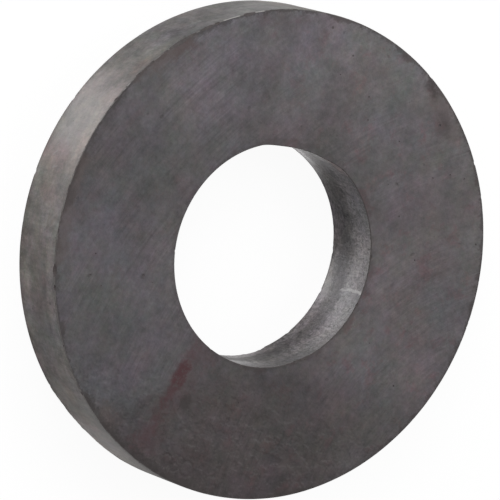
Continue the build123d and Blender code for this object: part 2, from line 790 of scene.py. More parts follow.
@dataclass(frozen=True)
class GroundFace(Finish):
    """A pole face, ground flat: satin grey with fine curved grinding lines, brown stains and rust."""

    stain: tuple[float, float, float] = (0.63, 0.578, 0.562)
    cool: tuple[float, float, float] = (0.96, 1.0, 1.03)
    # Painted light, laid on the -X side of the face
    pale: tuple[float, float, float] = (1.46, 1.5, 1.5)
    blush: tuple[float, float, float] = (1.08, 0.83, 0.85)
    rust: tuple[float, float, float] = (0.088, 0.029, 0.035)
    soot: tuple[float, float, float] = (0.045, 0.036, 0.035)
    brown: tuple[float, float, float] = (0.112, 0.082, 0.078)
    grain_size: float = 0.9
    grain_share: float = 0.34
    line_share: float = 0.42
    dirt_reach: float = 0.9
    wheel_centre: tuple[float, float, float] = (34.0, 59.0, 0.0)
    rust_scars: tuple[Scar, ...] = (
        face_scar((15.4, -7.5), (18.0, -8.3), 0.2, 1.4, 0.5, 0.5),
        face_scar((18.6, -8.4), (20.6, -8.9), 0.6, 1.1, 0.3, 1.0),
        face_scar((21.4, -9.1), (24.4, -9.9), 0.3, 1.2, 0.4, 0.78),
        face_scar((26.4, -10.1), (28.2, -10.4), 0.3, 1.8, 0.8, 0.62),
        face_scar((28.8, -10.8), (30.4, -12.2), 0.4, 2.1, 0.9, 0.5),
        face_scar((15.8, -7.0), (30.0, -10.2), 0.5, 2.6, 0.5, 0.26),
        face_scar((10.6, -23.2), (7.9, -24.1), 0.1, 1.1, 0.5, 0.25),
        face_scar((-4.0, 26.8), (-6.4, 29.8), 0.1, 1.4, 0.7, 0.22),
        face_scar((-24.2, -23.6), (-23.0, -24.6), 0.2, 1.3, 0.7, 0.24),
        face_scar((-31.2, -12.9), (-33.2, -6.4), 0.2, 1.7, 0.8, 0.2),
    )
    soot_scars: tuple[Scar, ...] = (
        face_scar((22.9, -6.5), (23.7, -6.8), 0.4, 0.9, 0.3, 1.0),
        face_scar((-12.0, -31.9), (-4.6, -33.9), 0.1, 1.1, 0.5, 0.3),
        face_scar((-4.2, -34.7), (2.6, -34.8), 0.1, 0.6, 0.3, 0.7),
        face_scar((26.0, -13.2), (26.6, -13.5), 0.1, 0.9, 0.4, 0.5),
        face_scar((-25.6, 20.2), (-24.2, 20.9), 0.3, 1.8, 0.6, 0.6),
        face_scar((-25.5, 20.4), (-25.2, 21.2), 0.1, 0.6, 0.3, 0.8),
        face_scar((-30.0, 16.2), (-28.8, 17.6), 0.1, 1.0, 0.4, 0.9),
        face_scar((8.0, -19.4), (8.3, -19.5), 0.05, 0.35, 0.2, 0.6),
        face_scar((10.1, -27.5), (10.3, -27.8), 0.05, 0.35, 0.2, 0.6),
        face_scar((-15.1, 16.0), (-14.9, 16.3), 0.05, 0.35, 0.2, 0.5),
        face_scar((-17.2, 9.4), (-16.3, 8.4), 0.1, 1.6, 0.5, 0.35),
        face_scar((1.4, -19.7), (6.4, -21.4), 0.02, 0.26, 0.05, 0.4),
        face_scar((6.4, -21.4), (11.0, -23.1), 0.02, 0.26, 0.05, 0.3),
        face_scar((-0.2, -34.2), (1.6, -34.1), 0.1, 0.8, 0.3, 0.7),
        face_scar((-15.4, -31.0), (-12.6, -32.1), 0.1, 0.8, 0.4, 0.55),
        face_scar((26.5, -22.2), (28.9, -19.0), 0.3, 0.9, 0.8, 0.9),
        face_scar((29.6, -17.9), (31.6, -14.1), 0.35, 1.0, 0.9, 1.0),
        face_scar((32.3, -12.4), (33.6, -8.2), 0.3, 0.9, 0.8, 1.0),
        face_scar((34.0, -6.6), (34.5, -2.2), 0.4, 1.0, 0.8, 1.0),
        face_scar((30.6, -2.3), (30.8, -2.2), 0.1, 0.9, 0.4, 0.5),
        face_scar((29.1, -1.9), (29.3, -1.8), 0.1, 0.8, 0.4, 0.4),
    )
    scuffs: tuple[Scuff, ...] = (
        Scuff(32.6, -5.3, 0.65, 0.34, 0.8),
        Scuff(32.4, -3.3, 1.1, 0.4, 0.7),
        Scuff(32.0, -6.9, 0.9, 0.34, 0.55),
        Scuff(31.3, -4.6, 0.5, 0.3, 0.5),
    )
    brown_scars: tuple[Scar, ...] = (
        face_scar((-24.9, -24.2), (-22.4, -26.0), 0.4, 1.8, 0.8, 0.9),
        face_scar((-22.2, -26.6), (-20.2, -27.6), 0.4, 1.9, 0.8, 0.8),
        face_scar((-19.0, -29.2), (-17.6, -30.0), 0.1, 1.1, 0.5, 0.6),
        face_scar((-4.6, -34.2), (2.6, -34.2), 0.3, 1.3, 0.5, 0.8),
        face_scar((2.6, -34.1), (9.4, -33.0), 0.3, 1.2, 0.5, 0.7),
        face_scar((-28.4, 18.0), (-24.4, 22.6), 0.4, 2.0, 0.8, 0.7),
        face_scar((27.6, -18.9), (28.6, -17.6), 0.4, 1.6, 0.8, 0.8),
    )

    def material(self, effects: SkinEffects) -> bpy.types.Material:
        """Make the finish.

        Args:
            effects: The shared shader groups.

        Returns:
            The material.
        """
        material, graph, place, radius, height = self.start(effects)
        x, y, _ = graph.parts(place)
        grain, specks = self.grains(effects, graph, place)
        lines = self.grinding_lines(graph, place)
        color = self.tone(effects, graph, place) * (grain * self.grain_share + lines * self.line_share + 1.0)
        stained = self.stained(graph, place)
        color = graph.toned(stained, self.stain, color)
        # The +X side is a little darker as painted shade, the -Y side cooler, and the -X side paler as
        # painted light
        shade = graph.ramp(x, 9.0, 21.0) * (1.0 - stained) * 0.13 + graph.ramp(x, 27.0, 34.0) * 0.14
        color = color * (1.0 - shade)
        color = graph.toned(graph.ramp(y, 0.0, -20.0), self.cool, color)
        # Painted light: the -X side of the face is made paler
        color = graph.toned(graph.ramp(x, -8.0, -34.0), self.pale, color)
        patches = graph.noise(place, 0.3, 4.0, 0.75)
        blushes = graph.ramp(patches, 0.52, 0.68) * graph.ramp(y, -18.0, 12.0, 0.35, 1.0)
        color = graph.toned(blushes, self.blush, color)
        dirt = self.dirt(effects, graph, place, radius, height)
        color = graph.tint(dirt * graph.ramp(radius, 18.0, 32.0, 0.3, 0.62), color, self.soot)
        brown = self.marks(effects, graph, place, self.brown_scars)
        color = graph.tint(brown * 0.8, color, self.brown)
        rust = self.marks(effects, graph, place, self.rust_scars)
        rust = rust * graph.ramp(graph.noise(place, 0.9, 4.0, 0.7), 0.36, 0.58, 0.5, 1.0)
        color = graph.tint(rust * 0.95, color, self.rust)
        soot = self.marks(effects, graph, place, self.soot_scars)
        soot = graph.math("MAXIMUM", soot, specks * 0.5)
        color = graph.tint(soot * 0.7, color, self.soot)
        scuffed = self.scuffed(graph, place)
        color = graph.tint(scuffed * 0.36, color, self.soot)
        roughness = graph.math("ADD", self.roughness, soot * 0.2 + rust * 0.3 + dirt * 0.1 + grain * 0.04)
        # The skin is pitted on the +X side
        pits = graph.ramp(graph.noise(place, 0.6, 2.0, 0.5), 0.4, 0.62) * graph.ramp(x, 14.0, 26.0, 0.0, 2.6)
        relief = grain * 0.8 + lines * 0.4 + pits - specks - scuffed * 3.0
        self.finish(graph, color, roughness, relief)
        return material

    def scuffed(self, graph: Graph, place: Field) -> Field:
        """The small ring-shaped rubs by the lower rim.

        Args:
            graph: The material's graph.
            place: The place on the ring.

        Returns:
            How strong the rub is, from 0 to 1.
        """
        wander = (graph.noise(place, 0.7, 3.0, 0.6) - 0.5) * 0.8
        total: Feed = 0.0
        for scuff in self.scuffs:
            away = graph.length(place - (scuff.x, scuff.y, FRONT_HEIGHT)) + wander
            off = graph.math("ABSOLUTE", away - scuff.radius)
            total = graph.math("MAXIMUM", total, graph.ramp(off, scuff.half_width, 0.0) * scuff.strength)
        return total

    def stained(self, graph: Graph, place: Field) -> Field:
        """The side of the face that is stained brown, which ends sharply along the rust streak.

        Args:
            graph: The material's graph.
            place: The place on the ring.

        Returns:
            How strong the stain is, from 0 to 1.
        """
        x, y, _ = graph.parts(place)
        wander = (graph.noise(place, 0.16, 5.0, 0.75) - 0.5) * 14.0
        # Millimetres past the rust streak's line, which bends away towards the outer rim
        past_streak = (x - 15.5) * 0.168 + (y + 7.4) * 0.986 + graph.ramp(x, 19.0, 29.0, 0.0, 8.0)
        mask = graph.ramp(past_streak + wander * 0.16, -1.4, 1.6)
        mask = mask * graph.ramp(x + wander, 11.0, 24.0)
        return mask * graph.ramp(y + wander, 34.0, 12.0, 0.35, 1.0)

    def grinding_lines(self, graph: Graph, place: Field) -> Field:
        """Fine arcs round the grinding wheel's centre.

        Args:
            graph: The material's graph.
            place: The place on the ring.

        Returns:
            The lines, about zero.
        """
        x, y, _ = graph.parts(place - self.wheel_centre)
        away = graph.length(graph.vector(x, y, 0.0))
        along = graph.math("ARCTAN2", y, x) * 60.0
        fine = graph.noise(graph.vector(away * 3.4, along * 0.24, 0.0), 1.0, 3.0, 0.75)
        broad = graph.noise(graph.vector(away * 1.4, along * 0.14, 4.0), 1.0, 2.0, 0.6)
        patches = graph.noise(place, 0.14, 2.0, 0.5)
        return ((fine - 0.5) * 1.5 + (broad - 0.5) * 1.0) * graph.ramp(patches, 0.35, 0.65, 0.4, 1.5)


@dataclass(frozen=True)
class FiredWall(Finish):
    """The outer wall as it was pressed and fired: a paler dusty skin, drawn along the die."""

    grain_size: float = 0.7
    streak_share: float = 0.5
    speck_share: float = 0.01
    dirt_reach: float = 0.35
    dust: tuple[float, float, float] = (0.3, 0.29, 0.28)
    pink: tuple[float, float, float] = (0.93, 0.79, 0.76)
    cool: tuple[float, float, float] = (0.98, 1.05, 1.1)
    cream_highlight: tuple[float, float, float] = (1.28, 1.2, 1.17)
    blue_patches: tuple[Scar, ...] = (
        Scar((-31.1, -16.1, BACK_HEIGHT), (-31.1, -16.1, FRONT_HEIGHT), 3.0, 5.0, 0.6, 1.0),
        Scar((-26.0, -23.4, BACK_HEIGHT), (-26.0, -23.4, FRONT_HEIGHT), 3.0, 4.0, 0.6, 1.0),
        Scar((18.5, -29.7, 3.0), (18.5, -29.7, 9.0), 1.0, 4.0, 0.5, 0.6),
    )
    pink_patches: tuple[Scar, ...] = (
        Scar((-4.9, -34.6, 1.0), (-3.7, -34.8, 6.0), 0.6, 3.0, 0.8, 1.0),
        Scar((0.6, -35.0, 4.5), (1.6, -34.9, 7.0), 0.2, 2.0, 0.6, 0.6),
        Scar((12.4, -32.7, 7.6), (13.0, -32.5, 7.2), 0.1, 1.5, 0.5, 0.7),
        Scar((-20.0, -28.7, 8.8), (-18.4, -29.8, 9.0), 0.1, 1.6, 0.5, 0.8),
        Scar((26.4, -23.0, 6.0), (27.6, -21.5, 5.6), 0.1, 2.2, 0.9, 0.7),
        Scar((29.8, -18.4, 5.4), (30.4, -17.4, 5.2), 0.1, 2.0, 0.9, 0.7),
    )
    # Warm beige skin high on the -Y side of the wall, lightened past its tone as a painted highlight where
    # the lamps fall strongest
    cream_highlight_patches: tuple[Scar, ...] = (
        Scar((-14.6, -31.8, 9.4), (-9.0, -33.8, 9.2), 0.4, 2.6, 0.7, 0.8),
        Scar((-9.0, -33.8, 9.6), (-3.9, -34.8, 9.8), 0.5, 2.2, 0.7, 1.0),
    )
    pale_scars: tuple[Scar, ...] = (
        Scar((-4.9, -34.7, 3.8), (-4.3, -34.7, 3.1), 0.02, 0.26, 0.18, 0.5),
        Scar((-2.9, -34.9, 5.2), (-2.5, -34.9, 4.3), 0.02, 0.26, 0.18, 0.5),
    )

    def material(self, effects: SkinEffects) -> bpy.types.Material:
        """Make the finish.

        Args:
            effects: The shared shader groups.

        Returns:
            The material.
        """
        material, graph, place, radius, height = self.start(effects)
        grain, specks = self.grains(effects, graph, place)
        streaks = self.streaks(graph, place)
        color = self.tone(effects, graph, place)
        color = color * (grain * self.grain_share + streaks * self.streak_share + 1.0)
        # The warm beige tone among these is partly a painted highlight
        for tone, patches in (
            (self.cool, self.blue_patches),
            (self.pink, self.pink_patches),
            (self.cream_highlight, self.cream_highlight_patches),
        ):
            color = graph.toned(self.marks(effects, graph, place, patches), tone, color)
        x, _, _ = graph.parts(place)
        wander = (graph.noise(place, 0.4, 4.0, 0.7) - 0.5) * 2.2
        # Uneven bands: a pale strip near the top, a dark middle and top edge, and dust here and there
        # at the foot
        strip = graph.ramp(height + wander, 7.6, 8.5) * graph.ramp(x, 9.0, 14.0) * graph.ramp(x, 28.0, 24.0)
        foot = graph.ramp(height + wander, 0.3, 1.5, 1.0, 0.0) * graph.ramp(x, -27.0, -15.0, -0.5, 1.0)
        middle = graph.ramp(height + wander, 1.8, 3.6) * graph.ramp(height + wander, 8.8, 7.6)
        middle = middle * graph.ramp(x, 6.0, 11.0) * graph.ramp(x, 22.0, 18.0)
        high = graph.ramp(height, 9.2, 10.2) * graph.ramp(x, -4.0, -18.0, 0.1, 0.2)
        high = high + graph.ramp(x, 27.0, 30.0) * graph.ramp(height, 5.0, 10.2) * 0.34
        dusty = graph.ramp(x, -8.0, -2.0) - graph.ramp(x, 7.0, 11.0) + graph.ramp(x, 18.0, 23.0)
        dusty = dusty * graph.ramp(height + wander * 0.5, 3.4, 0.8) * 0.28
        color = color * (strip * 0.2 - foot * 0.08 - middle * 0.24 + dusty - high + 1.0)
        dirt = self.dirt(effects, graph, place, radius, height)
        color = graph.tint(dirt * 0.4, color, self.soot)
        color = graph.tint(specks * 0.5, color, self.soot)
        pale = self.marks(effects, graph, place, self.pale_scars)
        color = graph.tint(pale, color, self.dust)
        roughness = graph.math("ADD", self.roughness, grain * 0.05 + streaks * 0.06 + foot * 0.1)
        self.finish(graph, color, roughness, grain * 0.6 + streaks * 0.6 - specks)
        return material


@dataclass(frozen=True)
class FiredBore(Finish):
    """The bore's wall: banded partly by how far the press packed it and partly by painted shade in its middle
    and painted bounce light at its foot, with a pale lip lightened further as a painted highlight and a pale
    scratch up it.
    """

    grain_size: float = 0.6
    grain_share: float = 1.2
    streak_share: float = 0.85
    speck_share: float = 0.02
    relief: float = 0.05 * MM
    # A pale tone for the lip, strong enough to be partly a painted highlight
    lip: tuple[float, float, float] = (2.5, 2.0, 2.05)
    scratched: tuple[float, float, float] = (0.62, 0.6, 0.6)
    scratch: tuple[Scar, ...] = (
        Scar((1.4, 15.94, 10.2), (1.35, 15.95, 8.6), 0.06, 0.34, 0.14, 1.0),
        Scar((1.35, 15.95, 8.4), (1.5, 15.93, 6.6), 0.04, 0.28, 0.14, 0.85),
        Scar((1.5, 15.93, 6.6), (1.8, 15.9, 4.9), 0.02, 0.24, 0.16, 0.6),
    )

    def material(self, effects: SkinEffects) -> bpy.types.Material:
        """Make the finish.

        Args:
            effects: The shared shader groups.

        Returns:
            The material.
        """
        material, graph, place, radius, height = self.start(effects)
        grain, specks = self.grains(effects, graph, place)
        streaks = self.streaks(graph, place)
        # The bands up the wall follow its height, but wander and are drawn out along the streaks
        waves = (graph.noise(place, 0.3, 5.0, 0.8) - 0.5) * 4.5
        level = height + waves + streaks * 1.5
        # The middle band is darkened partly as painted shade deep in the bore
        band = graph.ramp(level, 4.6, 6.6, 1.0, 0.0) * graph.ramp(level, 1.2, 3.0)
        color = self.tone(effects, graph, place)
        color = color * (grain * self.grain_share + streaks * self.streak_share + 1.0)
        # Painted bounce light from the floor lightens the foot
        foot = graph.ramp(level, 0.9, 2.4, 1.0, 0.0)
        color = color * (1.0 + foot * 0.22 - band * 0.44 - graph.ramp(level, 7.8, 9.4) * 0.18)
        color = color * (1.0 - graph.ramp(height, 9.0, 10.2) * 0.18)
        x, _, _ = graph.parts(place)
        # The pale lip of flash on the -X side, lightened further as a painted highlight
        lip = graph.ramp(x, -13.4, -14.8) * graph.ramp(level, 7.2, 8.8)
        color = graph.toned(lip, self.lip, color)
        dirt = self.dirt(effects, graph, place, radius, height)
        color = graph.tint(graph.math("MAXIMUM", dirt * 0.4, specks * 0.55), color, self.soot)
        scratch = self.marks(effects, graph, place, self.scratch)
        color = graph.tint(scratch * 0.9, color, self.scratched)
        roughness = graph.math("ADD", self.roughness, band * 0.14 + grain * 0.05 + streaks * 0.08)
        self.finish(graph, color, roughness, grain * 0.7 + streaks * 0.7 - specks)
        return material


@dataclass(frozen=True)
class EdgeWearAndHighlight(Finish):
    """An eased edge: pale in places on the outer rim, partly from wear and partly as a painted highlight,
    with painted glints, and packed with brown dirt elsewhere.
    """

    grain_share: float = 0.25
    pale: tuple[float, float, float] = (0.2, 0.19, 0.182)
    dark: tuple[float, float, float] = (0.055, 0.044, 0.042)
    # Painted glints: small highlights on the front outer rim
    painted_glint: tuple[float, float, float] = (0.46, 0.445, 0.43)
    glints: tuple[Scar, ...] = (
        Scar((-32.2, -13.7, 10.45), (-31.3, -15.7, 10.45), 0.1, 0.3, 0.06, 0.9),
        Scar((-30.4, -17.3, 10.45), (-29.3, -19.2, 10.45), 0.1, 0.3, 0.06, 0.9),
        Scar((-16.6, -30.8, 10.45), (-15.8, -31.2, 10.45), 0.1, 0.3, 0.06, 0.5),
    )

    def material(self, effects: SkinEffects) -> bpy.types.Material:
        """Make the finish.

        Args:
            effects: The shared shader groups.

        Returns:
            The material.
        """
        material, graph, place, radius, height = self.start(effects)
        grain, _ = self.grains(effects, graph, place)
        color = self.tone(effects, graph, place) * (grain * self.grain_share + 1.0)
        wear = graph.noise(place, 0.35, 4.0, 0.75)
        x, y, _ = graph.parts(place)
        # The edge is lightened partly by wear and partly as a painted highlight, more on the -Y side
        side = graph.ramp(y, 5.0, -20.0, 0.25, 1.0)
        # Painted highlight on the outer rim between x 6 and 28 mm, and on the back outer rim on the -X side
        painted_edge_highlight = graph.ramp(x, 6.0, 10.0) * graph.ramp(x, 28.0, 22.0)
        painted_edge_highlight = painted_edge_highlight + graph.ramp(height, 1.0, 0.0) * graph.ramp(x, -10.0, -18.0)
        wear_and_highlight = graph.math("MAXIMUM", graph.ramp(wear, 0.44, 0.56), painted_edge_highlight * 0.7)
        wear_and_highlight = wear_and_highlight * graph.ramp(radius, 25.0, 26.0) * side
        packed = graph.ramp(wear, 0.5, 0.36)
        packed = graph.math("MAXIMUM", packed, graph.ramp(radius, 26.0, 25.0, 0.0, 0.75))
        color = graph.tint(packed * 0.8, color, self.dark)
        color = graph.tint(wear_and_highlight * 0.85, color, self.pale)
        # Painted glints
        color = graph.tint(self.marks(effects, graph, place, self.glints), color, self.painted_glint)
        self.finish(graph, color, graph.math("ADD", self.roughness, grain * 0.1), grain)
        return material


@dataclass(frozen=True)
class BrokenBody(Finish):
    """The body laid open in a break: dark, grainy and unpolished, with brown dirt held in it."""

    grain_share: float = 0.35
    speck_share: float = 0.04
    relief: float = 0.04 * MM

    def material(self, effects: SkinEffects) -> bpy.types.Material:
        """Make the finish.

        Args:
            effects: The shared shader groups.

        Returns:
            The material.
        """
        material, graph, place, _, _ = self.start(effects)
        grain, specks = self.grains(effects, graph, place)
        color = self.tone(effects, graph, place) * (grain * self.grain_share - specks * 0.3 + 1.0)
        self.finish(graph, color, graph.math("ADD", self.roughness, grain * 0.1), grain - specks)
        return material


@dataclass
class RingMagnet:
    """The ring: its sizes from the frame, in metres, and the trees that build it."""

    outer_radius: float
    bore_radius: float
    thickness: float
    edge_break: float = 0.1 * MM
    turn_steps: int = 540
    wall_cuts: int = 14
    face_cuts: int = 5
    wall_wave: float = 0.03 * MM
    nicks_per_rim: int = 45
    smallest_nick: float = 0.06 * MM
    largest_nick: float = 0.22 * MM
    lip_height: float = 0.54 * MM
    lip_depth: float = 2.6 * MM
    lip_angle: float = 180.5
    lip_half_turn: float = 27.0
    pinhole_density: float = 8000.0
    seed: int = 7
    sharp_angle: float = 32.0

    def marker(self, rim: Rim, scoop: Scoop, angle: float) -> tuple[tuple, tuple, tuple, float, int]:
        """One placed break, as a pebble whose lowest point is as deep as the CAD's ball.

        Args:
            rim: The rim that is broken.
            scoop: The shape of the hollow.
            angle: Where it is round the ring, in degrees.

        Returns:
            The pebble's centre, its half sizes, its facing and its roughness, in metres, and its kind.
        """
        # The pebble is flatter than the ball, so that only its tip is in the ring
        deep = min(scoop.radius, 2.5 * scoop.depth)
        half = math.sqrt(scoop.radius * deep)
        reach = (deep - scoop.depth) * MM
        lean, turn = math.radians(scoop.lean), math.radians(angle)
        rim_radius = self.outer_radius if rim.air_outward > 0 else self.bore_radius
        rim_height = self.thickness if rim.air_upward > 0 else 0.0
        outward = rim.air_outward * math.cos(lean)
        upward = rim.air_upward * math.sin(lean)
        radius = rim_radius + outward * reach
        centre = (radius * math.cos(turn), radius * math.sin(turn), rim_height + upward * reach)
        facing = (0.0, -math.atan2(upward, outward), turn)
        kind = Pebble.BROAD if scoop.radius > CHIP.radius else Pebble.SMALL
        return centre, (deep * MM, half * MM, half * MM), facing, scoop.depth * 0.55 * MM, kind.value[0]

    def markers(self) -> bpy.types.Mesh:
        """One loose point for each placed break and pinhole, which carries its pebble's sizes.

        Returns:
            The mesh of points.
        """
        rows = [self.marker(rim, scoop, angle) for rim, scoop, angles in BREAKS for angle in angles]
        for index, scoop in enumerate(SPALL):
            rows.append(self.marker(Rim.BACK_OUTER, scoop, SPALL_FIRST_ANGLE + index * SPALL_STEP_ANGLE))
        for hole in PINHOLES:
            size, place = hole.radius * MM, (hole.x * MM, hole.y * MM, self.thickness)
            rows.append((place, (size, size, size * 0.4), (0.0, 0.0, 0.0), size * 0.3, Pebble.HOLE.value[0]))
        mesh = bpy.data.meshes.new("break_markers")
        mesh.from_pydata([row[0] for row in rows], [], [])
        for name, column in (("half_size", 1), ("facing", 2)):
            attribute = mesh.attributes.new(name, "FLOAT_VECTOR", "POINT")
            attribute.data.foreach_set("vector", [value for row in rows for value in row[column]])
        attribute = mesh.attributes.new("rough", "FLOAT", "POINT")
        attribute.data.foreach_set("value", [row[3] for row in rows])
        attribute = mesh.attributes.new("kind", "INT", "POINT")
        attribute.data.foreach_set("value", [row[4] for row in rows])
        return mesh

    def tree(self, finishes: dict[Zone, bpy.types.Material]) -> Group:
        """The geometry tree that spins, breaks and dresses the ring.

        Args:
            finishes: The material of each kind of surface.

        Returns:
            The tree.
        """
        tree = Group("broken_ring", "GeometryNodeTree")
        markers = tree.takes("Markers", kind="NodeSocketGeometry")
        outer = tree.takes("Outer Radius", 0.035)
        bore = tree.takes("Bore Radius", 0.016)
        height = tree.takes("Thickness", 0.01)
        edge = tree.takes("Edge Break", 0.0002)
        steps = tree.takes("Turn Steps", 540, "NodeSocketInt")
        wall_cuts = tree.takes("Wall Cuts", 16, "NodeSocketInt")
        face_cuts = tree.takes("Face Cuts", 9, "NodeSocketInt")
        wave = tree.takes("Wall Wave", 0.00004)
        count = tree.takes("Nicks Per Rim", 100, "NodeSocketInt")
        smallest = tree.takes("Smallest Nick", 0.00006)
        largest = tree.takes("Largest Nick", 0.0004)
        lip_height = tree.takes("Lip Height", 0.0005)
        lip_depth = tree.takes("Lip Depth", 0.0026)
        density = tree.takes("Pinhole Density", 20000.0)
        seed = tree.takes("Seed", 0, "NodeSocketInt")
        ring = self.spin(tree, outer, bore, height, edge, steps, wall_cuts, face_cuts)
        ring = self.zoned(tree, ring, outer, bore, height, edge)
        ring = self.waved(tree, ring, outer, bore, edge, wave)
        nicks = self.write_rim_nicks()
        groups = []
        for number, rim in enumerate(Rim):
            feeds = {
                "Rim Radius": outer if rim.air_outward > 0 else bore,
                "Rim Height": height if rim.air_upward > 0 else 0.0,
                "Air Outward": float(rim.air_outward),
                "Air Upward": float(rim.air_upward),
                "Count": count,
                "Smallest": smallest,
                "Largest": largest,
                "Edge Break": edge,
                "Seed": tree.math("ADD", seed, float(number * 11)),
            }
            groups.append(tree.use(nicks, feeds, "Points"))
        scattered = tree.make("GeometryNodeJoinGeometry", {"Geometry": groups})
        placed = tree.make("GeometryNodeMeshToPoints", {"Mesh": markers})
        strewn = {Pebble.STREWN: scattered, Pebble.HOLE: self.pinholes(tree, ring, density, seed)}
        pebbles = []
        for kind in Pebble:
            points = [self.of_kind(tree, placed, kind)] + ([strewn[kind]] if kind in strewn else [])
            points = tree.make("GeometryNodeJoinGeometry", {"Geometry": points})
            pebbles.append(self.pebbles(tree, points, kind))
        feeds = {"Mesh 1": ring, "Mesh 2": pebbles}
        ring = tree.make("GeometryNodeMeshBoolean", feeds, operation="DIFFERENCE", solver="MANIFOLD")
        ring = self.lipped(tree, ring, bore, height, edge, lip_height, lip_depth)
        ring = tree.make("GeometryNodeRealizeInstances", {"Geometry": ring})
        zone = tree.carried("zone", "FLOAT")
        for kind, finish in finishes.items():
            is_kind = tree.math("COMPARE", zone, float(kind.value), 0.25)
            feeds = {"Geometry": ring, "Selection": is_kind, "Material": finish}
            ring = tree.make("GeometryNodeSetMaterial", feeds)
        tree.gives("Geometry", ring, "NodeSocketGeometry")
        return tree

    def spin(
        self,
        tree: Group,
        outer: Field,
        bore: Field,
        height: Field,
        edge: Field,
        steps: Field,
        wall_cuts: Field,
        face_cuts: Field,
    ) -> Field:
        """The wall's section, with its corners broken and its sides cut up, spun round the axis.

        Args:
            tree: The tree that it is made in.
            outer: The outside radius.
            bore: The bore's radius.
            height: The thickness.
            edge: The eased edge's width.
            steps: The steps round the ring.
            wall_cuts: The cuts up each wall.
            face_cuts: The cuts across each pole face.

        Returns:
            The ring, whole and smooth.
        """
        feeds = {"Width": outer - bore, "Height": height}
        section = tree.make("GeometryNodeCurvePrimitiveQuadrilateral", feeds, mode="RECTANGLE")
        feeds = {"Curve": section, "Count": 2, "Radius": edge}
        section = tree.make("GeometryNodeFilletCurve", feeds, mode="POLY")
        place = tree.make("GeometryNodeInputPosition")
        next_point = tree.make("GeometryNodeOffsetPointInCurve", {"Offset": 1}, out="Point Index")
        feeds = {"Value": place, "Index": next_point}
        next_place = tree.make("GeometryNodeFieldAtIndex", feeds, data_type="FLOAT_VECTOR")
        step_x, step_y, _ = tree.parts(next_place - place)
        along_face = tree.math("GREATER_THAN", tree.math("ABSOLUTE", step_x), edge * 3.0)
        along_wall = tree.math("GREATER_THAN", tree.math("ABSOLUTE", step_y), edge * 3.0)
        cuts = along_face * face_cuts + along_wall * wall_cuts
        section = tree.make("GeometryNodeSubdivideCurve", {"Curve": section, "Cuts": cuts})
        feeds = {"Radius": (outer + bore) * 0.5, "Resolution": steps}
        path = tree.make("GeometryNodeCurvePrimitiveCircle", feeds, mode="RADIUS")
        ring = tree.make("GeometryNodeCurveToMesh", {"Curve": path, "Profile Curve": section})
        return tree.shift(ring, tree.vector(0.0, 0.0, height * 0.5))

    def zoned(
        self, tree: Group, ring: Field, outer: Field, bore: Field, height: Field, edge: Field
    ) -> Field:
        """Number the ring's faces by the kind of surface that they are.

        Args:
            tree: The tree that it is made in.
            ring: The ring.
            outer: The outside radius.
            bore: The bore's radius.
            height: The thickness.
            edge: The eased edge's width.

        Returns:
            The ring, whose faces carry their zone.
        """
        x, y, z = tree.parts(tree.make("GeometryNodeInputPosition"))
        radius = tree.length(tree.vector(x, y, 0.0))
        close = edge * 0.05
        on_front = tree.math("GREATER_THAN", z, height - close)
        on_face = tree.math("MAXIMUM", on_front, tree.math("LESS_THAN", z, close))
        on_outer = tree.math("GREATER_THAN", radius, outer - close)
        on_bore = tree.math("LESS_THAN", radius, bore + close)
        plain = tree.math("MAXIMUM", on_face, tree.math("MAXIMUM", on_outer, on_bore))
        zone = on_outer * float(Zone.OUTER_WALL.value) + on_bore * float(Zone.BORE_WALL.value)
        zone = zone + (1.0 - plain) * float(Zone.EASED_EDGE.value)
        return tree.carry(ring, "zone", zone, "FLOAT", "FACE")

    def waved(
        self, tree: Group, ring: Field, outer: Field, bore: Field, edge: Field, wave: Field
    ) -> Field:
        """Let the walls dip into the body a little, as pressed and fired walls do.

        Args:
            tree: The tree that it is made in.
            ring: The ring.
            outer: The outside radius.
            bore: The bore's radius.
            edge: The eased edge's width.
            wave: How deep the deepest dip is.

        Returns:
            The ring with its walls waved.
        """
        place = tree.make("GeometryNodeInputPosition")
        x, y, _ = tree.parts(place)
        flat = tree.vector(x, y, 0.0)
        radius = tree.length(flat)
        outward = tree.scaled(flat, 1.0 / radius)
        near_outer = tree.ramp(radius, outer - edge * 6.0, outer - edge)
        near_bore = tree.ramp(radius, bore + edge, bore + edge * 6.0, 1.0, 0.0)
        dip = tree.ramp(tree.noise(place, 130.0, 3.0, 0.5), 0.25, 0.75) * wave
        return tree.shift(ring, tree.scaled(outward, dip * (near_bore - near_outer)))

    def lipped(
        self, tree: Group, ring: Field, bore: Field, height: Field, edge: Field, rise: Field, depth: Field
    ) -> Field:
        """Push out the low lip of flash that was left on one side of the bore's front rim.

        Args:
            tree: The tree that it is made in.
            ring: The ring.
            bore: The bore's radius.
            height: The ring's thickness.
            edge: The eased edge's width.
            rise: How far the lip stands into the bore.
            depth: How far down the bore its foot is.

        Returns:
            The ring with its lip.
        """
        x, y, z = tree.parts(tree.make("GeometryNodeInputPosition"))
        radius = tree.length(tree.vector(x, y, 0.0))
        turn = math.radians(self.lip_angle)
        toward = (x * math.cos(turn) + y * math.sin(turn)) / radius
        share = tree.ramp(toward, math.cos(math.radians(self.lip_half_turn)), 1.0)
        share = share * tree.ramp(z, height - depth, height - edge)
        share = share * tree.ramp(radius, bore + edge * 2.0, bore + edge * 8.0, 1.0, 0.0)
        outward = tree.vector(x / radius, y / radius, 0.0)
        return tree.shift(ring, tree.scaled(outward, share * rise * -1.0))

